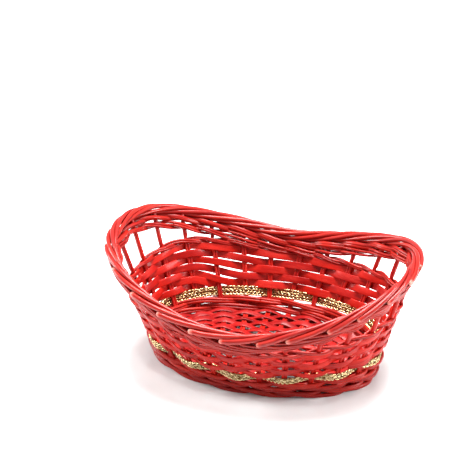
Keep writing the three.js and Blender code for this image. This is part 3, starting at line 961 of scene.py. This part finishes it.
class OVALBASKET_OT_upper_wales(Operator):
    """Twine the thin rods under and over the handle gaps"""
    bl_idname = "oval_basket.upper_wales"
    bl_label = "Upper and under-rim wales"

    def execute(self, context):
        willow = context.scene.basket_willow
        material = willow_material("red_willow_fine_rod", willow)
        wales = (
            ("upper_wale", 5, upper_wale_rise, willow.upper_rod, willow.stake_rod,
             lambda index: willow.upper_rod * UPPER_WALE_SPREAD),
            ("under_rim_wale", 9, under_rim_rise, willow.under_rim_rod, willow.handle_rod,
             lambda index: willow.under_rim_rod * UNDER_RIM_SPREAD * (2 - rim_share(index))),
        )
        for number, (name, start, rise, rod, stake, apart) in enumerate(wales):
            for suffix, phase in (("a", 0), ("b", 1)):
                make_wale_strand(
                    context, material, name, suffix, willow.seed * 700 + 10 * number + phase,
                    start=start + phase, rise=rise, radius=rod / 2, swing=(stake + rod) / 2,
                    drop=rod * UPPER_WALES_DROP, phase=phase, apart=apart, sides=8)
        return {"FINISHED"}


class OVALBASKET_OT_rim_wale(Operator):
    """Twine the thicker rods close under the border"""
    bl_idname = "oval_basket.rim_wale"
    bl_label = "Rim wale"

    def execute(self, context):
        willow = context.scene.basket_willow
        rod = willow.rim_rod
        material = willow_material("red_willow_rim_rod", willow)
        for suffix, phase in (("a", 1), ("b", 0)):
            make_wale_strand(
                context, material, "rim_wale", suffix, willow.seed * 800 + phase,
                start=15 + phase, rise=lambda index: below_border(RIM_WALE_DEPTHS, index),
                radius=rod / 2, swing=(willow.stake_rod + rod) / 2, drop=rod * RIM_WALE_DROP,
                phase=phase, sides=10, apart=lambda index: rod * (
                    RIM_WALE_SPREAD + RIM_WALE_SPREAD_RIGHT * np.cos(stake_angle(index))))
        return {"FINISHED"}


# Border: thick rods rolled from the outer side over to the inner one, and thin tails below them

# Ranges of chance for a border rod: its run and start in stakes, its roll in degrees, its size
BORDER_RUN = (4.1, 4.5)
BORDER_START = (-0.09, 0.03)
BORDER_ROLL = (-5, 5)
BORDER_SIZE = (0.93, 1.05)
# Length of the pale cut end and its painted highlight at each butt
BUTT_LENGTH = 0.008
# Stakes from a rod's start, with its degrees round the border, its distance and its share of size
BORDER_DEGREES = ((0, 0.5, 1, 1.5, 2, 2.5, 3, 4.5), (18, 38, 64, 93, 123, 158, 194, 300))
BORDER_DISTANCE = ((0, 0.6, 1.4, 2.4, 3.2, 4.5), (0.0080, 0.0074, 0.0062, 0.0050, 0.0040, 0.0028))
BORDER_TAPER = ((0, 1, 2, 4.5), (1.0, 0.94, 0.86, 0.60))
# The same for the tails, with their share of the deepest and their distance outward
TAIL_RUN = (3.2, 4.0)
TAIL_STARTS = (0.05, 0.55)
TAIL_TOP = -0.001
TAIL_DEEPEST = (0.75, 1.1)
TAIL_SWAY = 0.0004
TAIL_FALL = ((0, 0.8, 2.2, 3.6), (0, 0.35, 0.75, 1))
TAIL_OUTWARD = ((0, 0.6, 2.2, 3.6), (0.0066, 0.0084, 0.0074, 0.0046))
TAIL_TAPER = ((0, 1, 3.6), (1.0, 0.95, 0.55))


def border_line(index, degrees, distance, leans):
    """Points round the border's middle line: 0 degrees is outward and 90 is up the slope."""
    reach = wall_line(index)[2]
    at, out, slope = wall_frame(index, reach, leans)
    facing = rolled(out, slope, np.radians(degrees))
    return at + facing * column(distance), facing


def tail_depth(index):
    """How far the tails run down below the rim: further along the sides than over the handles."""
    return TAIL_DEPTHS[0] + (TAIL_DEPTHS[1] - TAIL_DEPTHS[0]) * rim_share(index)


class OVALBASKET_OT_border(Operator):
    """Roll the border's rods over the stake tips"""
    bl_idname = "oval_basket.border"
    bl_label = "Border"

    def execute(self, context):
        willow = context.scene.basket_willow
        leans = stake_leans(willow.seed)
        material = willow_material("red_willow_border", willow)
        chance = Random(willow.seed * 900)
        bm = new_piece()
        for stake in range(STAKE_COUNT):
            step = np.linspace(0, chance.uniform(*BORDER_RUN), 44)
            index = stake + chance.uniform(*BORDER_START) + step
            high = rim_share(index)
            degrees = np.interp(step, *BORDER_DEGREES) + chance.uniform(*BORDER_ROLL)
            distance = np.interp(step, *BORDER_DISTANCE) * (1 - BORDER_CLOSER_AT_ENDS * high)
            line, facing = border_line(index, degrees, distance, leans)
            size = willow.border_rod / 2 * np.interp(step, *BORDER_TAPER)
            size = size * chance.uniform(*BORDER_SIZE) * (1 - BORDER_THINNER_AT_ENDS * high)
            lay_rod(bm, chance, line, facing, size, 12, pale_length=BUTT_LENGTH)
        finish_piece(context, bm, "rolled_border_rods", material,
                     ["border_rod_1", "border_rod_2", "border_rod_3"])

        bm = new_piece()
        for stake in range(STAKE_COUNT):
            for start in TAIL_STARTS:
                step = np.linspace(0, chance.uniform(*TAIL_RUN), 34)
                index = stake + start + step
                deepest = tail_depth(index) * chance.uniform(*TAIL_DEEPEST)
                depth = TAIL_TOP + deepest * np.interp(step, *TAIL_FALL)
                at, facing, _ = wall_frame(index, wall_line(index)[2] - depth, leans)
                outward = np.interp(step, *TAIL_OUTWARD) * (1 - BORDER_CLOSER_AT_ENDS * rim_share(index))
                line = at + facing * column(outward + wander(chance, index, TAIL_SWAY))
                size = willow.border_tail / 2 * np.interp(step, *TAIL_TAPER)
                lay_rod(bm, chance, line, facing, size, 9)
        finish_piece(context, bm, "border_tails", material, [])
        return {"FINISHED"}


# Finishes

# Each willow finish: tones, share of the pale bloom and painted sheen, fibres per metre across, roughness
# and clear coat
WILLOW_FINISHES = {
    "red_willow_rod": ("chip", 0.30, 750, (0.34, 0.52), 0.30),
    "red_floor_willow": ("floor", 0.55, 600, (0.36, 0.55), 0.20),
    "red_willow_wale": ("rod", 0.26, 700, (0.34, 0.52), 0.20),
    "red_willow_chip": ("chip", 0.48, 500, (0.38, 0.58), 0.16),
    "red_willow_fine_rod": ("rod", 0.34, 900, (0.32, 0.50), 0.30),
    "red_willow_rim_rod": ("rod", 0.34, 640, (0.32, 0.50), 0.30),
    "red_willow_border": ("rod", 0.34, 540, (0.34, 0.50), 0.50),
}


class Nodes:
    """Adds nodes to a material and links them."""

    def __init__(self, name):
        self.material = bpy.data.materials.new(name)
        self.material.use_nodes = True
        self.tree = self.material.node_tree
        self.tree.nodes.clear()

    def add(self, kind, values=(), links=(), **settings):
        node = self.tree.nodes.new(kind)
        for key, value in settings.items():
            setattr(node, key, value)
        for key, value in dict(values).items():
            node.inputs[key].default_value = value
        for key, socket in dict(links).items():
            self.tree.links.new(socket, node.inputs[key])
        return node

    def feed(self, socket, value):
        """Links a socket to another one, or sets its value."""
        if isinstance(value, bpy.types.NodeSocket):
            self.tree.links.new(value, socket)
        else:
            socket.default_value = value

    def strand(self):
        """Metres along and round a strand, and its tone."""
        return (self.add("ShaderNodeUVMap", uv_map=STRAND_UV).outputs["UV"],
                self.add("ShaderNodeAttribute", attribute_name=STRAND_TONE).outputs["Fac"])

    def grain(self, vector, along, across, detail, roughness=0.6):
        """Noise drawn out along a strand, with so many marks per metre along and across."""
        place = self.add("ShaderNodeMapping", {"Scale": (along, across, 1)}, {"Vector": vector})
        return self.add("ShaderNodeTexNoise", {"Scale": 1, "Detail": detail, "Roughness": roughness},
                        {"Vector": place.outputs["Vector"]}).outputs["Fac"]

    def spread(self, value, low, high, to_low=0.0, to_high=1.0):
        """Brings the values between low and high to those between to_low and to_high."""
        return self.add(
            "ShaderNodeMapRange",
            {"From Min": low, "From Max": high, "To Min": to_low, "To Max": to_high},
            {"Value": value}).outputs["Result"]

    def mix(self, factor, a, b):
        node = self.add("ShaderNodeMix", data_type="RGBA")
        for number, value in ((0, factor), (6, a), (7, b)):
            self.feed(node.inputs[number], (*value, 1) if isinstance(value, tuple) else value)
        return node.outputs[2]

    def math(self, kind, a, b):
        node = self.add("ShaderNodeMath", operation=kind)
        self.feed(node.inputs[0], a)
        self.feed(node.inputs[1], b)
        return node.outputs[0]

    def weighted(self, *parts):
        """The sum of values, each times its weight."""
        total = None
        for value, weight in parts:
            part = self.math("MULTIPLY", value, weight)
            total = self.math("ADD", total, part) if total else part
        return total

    def finish(self, values, colour, gloss, height=None, strength=0.0, depth=0.0):
        """Ends in one shader, with relief from height where it is given."""
        links = {"Base Color": colour, "Roughness": gloss}
        if height:
            relief = self.add("ShaderNodeBump", {"Strength": strength, "Distance": depth},
                              {"Height": height})
            links["Normal"] = relief.outputs["Normal"]
        shader = self.add("ShaderNodeBsdfPrincipled", values, links)
        self.add("ShaderNodeOutputMaterial", {}, {"Surface": shader.outputs["BSDF"]})
        return self.material


def willow_material(name, willow):
    """Red stained willow: fibres along the strand, a tone of its own, and pale patches that are thin stain
    and painted sheen.
    """
    tones, bloom_and_sheen_share, fibre_count, roughness, coat = WILLOW_FINISHES[name]
    deep, bright = getattr(willow, f"{tones}_deep"), getattr(willow, f"{tones}_bright")
    nodes = Nodes(name)
    strand, tone = nodes.strand()
    fibres = nodes.grain(strand, 36, fibre_count, 4.0)
    patches = nodes.grain(strand, 26, 60, 3.0)
    specks = nodes.grain(strand, 1600, 2600, 2.0)

    depth = nodes.weighted((nodes.spread(patches, 0.3, 0.7), 0.26),
                           (nodes.spread(fibres, 0.34, 0.66), 0.46), (tone, 0.30))
    stain = nodes.mix(nodes.spread(depth, 0.1, 0.85), tuple(deep), tuple(bright))
    # Speckled pale patches: thin stain and painted sheen, a pink painted highlight along the strands
    worn_and_sheen = nodes.spread(nodes.weighted((fibres, 0.4), (specks, 0.6)), 0.47, 0.60)
    thin = nodes.math("MULTIPLY", nodes.spread(patches, 0.48, 0.66), worn_and_sheen)
    colour = nodes.mix(nodes.math("MULTIPLY", thin, bloom_and_sheen_share), stain, tuple(willow.bloom_and_sheen))
    # Pale cut end with a painted highlight along the butt's first millimetres
    colour = nodes.mix(nodes.spread(tone, 1.1, 2.6, 0.0, 0.8), colour, CUT_END_AND_HIGHLIGHT_TONE)
    gloss = nodes.spread(nodes.math("ADD", patches, fibres), 0.7, 1.3, *roughness)
    coating = {"Coat Weight": coat, "Coat Roughness": 0.13, "Specular IOR Level": 0.12}
    return nodes.finish(coating, colour, gloss, fibres, 0.35, 0.0003)


def gold_material(name, braid):
    """Metallic thread: bright film wound round a dark core, so that it sparkles."""
    nodes = Nodes(name)
    strand, tone = nodes.strand()
    winding = nodes.grain(strand, 620, 420, 2.0)
    patches = nodes.grain(strand, 120, 80, 2.0, 0.5)
    depth = nodes.weighted((patches, 0.28), (tone, 0.10), (winding, 0.62))
    colour = nodes.mix(nodes.spread(depth, 0.41, 0.57), tuple(braid.gold_dark), tuple(braid.gold_light))
    gloss = nodes.spread(winding, 0.35, 0.65, 0.36, 0.16)
    return nodes.finish({"Metallic": 0.95}, colour, gloss, winding, 0.6, 0.0002)


def floor_material(name, tone):
    """A smooth pale floor with a faint haze, in which the foot mirrors a little."""
    nodes = Nodes(name)
    place = nodes.add("ShaderNodeTexCoord").outputs["Object"]
    haze = nodes.grain(place, 9, 9, 3.0, 0.5)
    colour = nodes.mix(haze, (tone * 0.94, tone, tone), (tone * 0.95, tone, tone))
    gloss = nodes.spread(haze, 0.3, 0.7, 0.16, 0.24)
    return nodes.finish({"Specular IOR Level": 0.6}, colour, gloss)


# Stage

STUDIO_FLOOR_HALF_SIZE = 6
LIGHT_TARGET = Vector((0, 0, 0.05))
CAMERA_PLACE = (0.5637, -1.9902, 1.2586)
CAMERA_DIRECTION = Vector((-0.25623, 0.84741, -0.46502))
CAMERA_LENS = 151.515
CAMERA_SENSOR = 36


def aim(direction):
    """The turn that points a lamp or a camera in a direction."""
    return direction.to_track_quat("-Z", "Y").to_euler()


class OVALBASKET_OT_stage(Operator):
    """Set the pale floor, the soft light and the camera"""
    bl_idname = "oval_basket.stage"
    bl_label = "Stage"

    def execute(self, context):
        studio = context.scene.basket_studio
        scene = context.scene
        bm = bmesh.new()
        bmesh.ops.create_grid(bm, x_segments=8, y_segments=8, size=STUDIO_FLOOR_HALF_SIZE)
        mesh = bpy.data.meshes.new("studio_floor")
        bm.to_mesh(mesh)
        bm.free()
        mesh.materials.append(floor_material("pale_floor", studio.floor_tone))
        floor = bpy.data.objects.new("studio_floor", mesh)
        scene.collection.objects.link(floor)

        world = scene.world or bpy.data.worlds.new("white_room")
        scene.world = world
        world.use_nodes = True
        background = world.node_tree.nodes["Background"]
        background.inputs["Color"].default_value = (1, 1, 1, 1)
        background.inputs["Strength"].default_value = studio.room

        for name, place, size, power in (
                ("overhead_light", (0.05, 0.40, 2.2), 1.6, studio.overhead),
                ("left_light", (-1.8, 0.05, 0.75), 0.9, studio.sides),
                ("right_light", (1.9, 0.30, 0.75), 0.9, studio.sides)):
            light = bpy.data.lights.new(name, "AREA")
            light.shape = "DISK"
            light.size = size
            light.energy = power
            lamp = bpy.data.objects.new(name, light)
            lamp.location = place
            lamp.rotation_euler = aim(LIGHT_TARGET - lamp.location)
            scene.collection.objects.link(lamp)

        camera = bpy.data.cameras.new("camera")
        camera.sensor_width = CAMERA_SENSOR
        camera.lens = CAMERA_LENS
        camera.clip_start, camera.clip_end = 0.05, 60
        eye = bpy.data.objects.new("camera", camera)
        eye.location = CAMERA_PLACE
        eye.rotation_euler = aim(CAMERA_DIRECTION)
        scene.collection.objects.link(eye)
        scene.camera = eye
        scene.view_settings.view_transform = "Standard"
        return {"FINISHED"}


class OVALBASKET_PT_panel(Panel):
    """The basket's pieces, in the order they are woven"""
    bl_idname = "OVALBASKET_PT_panel"
    bl_label = "Oval wicker basket"
    bl_space_type = "VIEW_3D"
    bl_region_type = "UI"
    bl_category = "Basket"

    def draw(self, context):
        for step in OPERATORS:
            self.layout.operator(step.bl_idname)
        for group in (context.scene.basket_willow, context.scene.basket_braid, context.scene.basket_studio):
            box = self.layout.box()
            for name in group.__annotations__:
                box.prop(group, name)


OPERATORS = (
    OVALBASKET_OT_stage,
    OVALBASKET_OT_stakes,
    OVALBASKET_OT_floor,
    OVALBASKET_OT_lower_wales,
    OVALBASKET_OT_braid,
    OVALBASKET_OT_chip_rows,
    OVALBASKET_OT_upper_wales,
    OVALBASKET_OT_rim_wale,
    OVALBASKET_OT_border,
)
CLASSES = (BasketWillow, BasketBraid, BasketStudio, *OPERATORS, OVALBASKET_PT_panel)


def register():
    for item in CLASSES:
        bpy.utils.register_class(item)
    bpy.types.Scene.basket_willow = PointerProperty(type=BasketWillow)
    bpy.types.Scene.basket_braid = PointerProperty(type=BasketBraid)
    bpy.types.Scene.basket_studio = PointerProperty(type=BasketStudio)


def unregister():
    del bpy.types.Scene.basket_willow
    del bpy.types.Scene.basket_braid
    del bpy.types.Scene.basket_studio
    for item in reversed(CLASSES):
        bpy.utils.unregister_class(item)


def main():
    register()
    bpy.ops.oval_basket.stage()
    bpy.ops.oval_basket.stakes()
    bpy.ops.oval_basket.floor()
    bpy.ops.oval_basket.lower_wales()
    bpy.ops.oval_basket.braid()
    bpy.ops.oval_basket.chip_rows()
    bpy.ops.oval_basket.upper_wales()
    bpy.ops.oval_basket.rim_wale()
    bpy.ops.oval_basket.border()


if __name__ == "__main__":
    main()
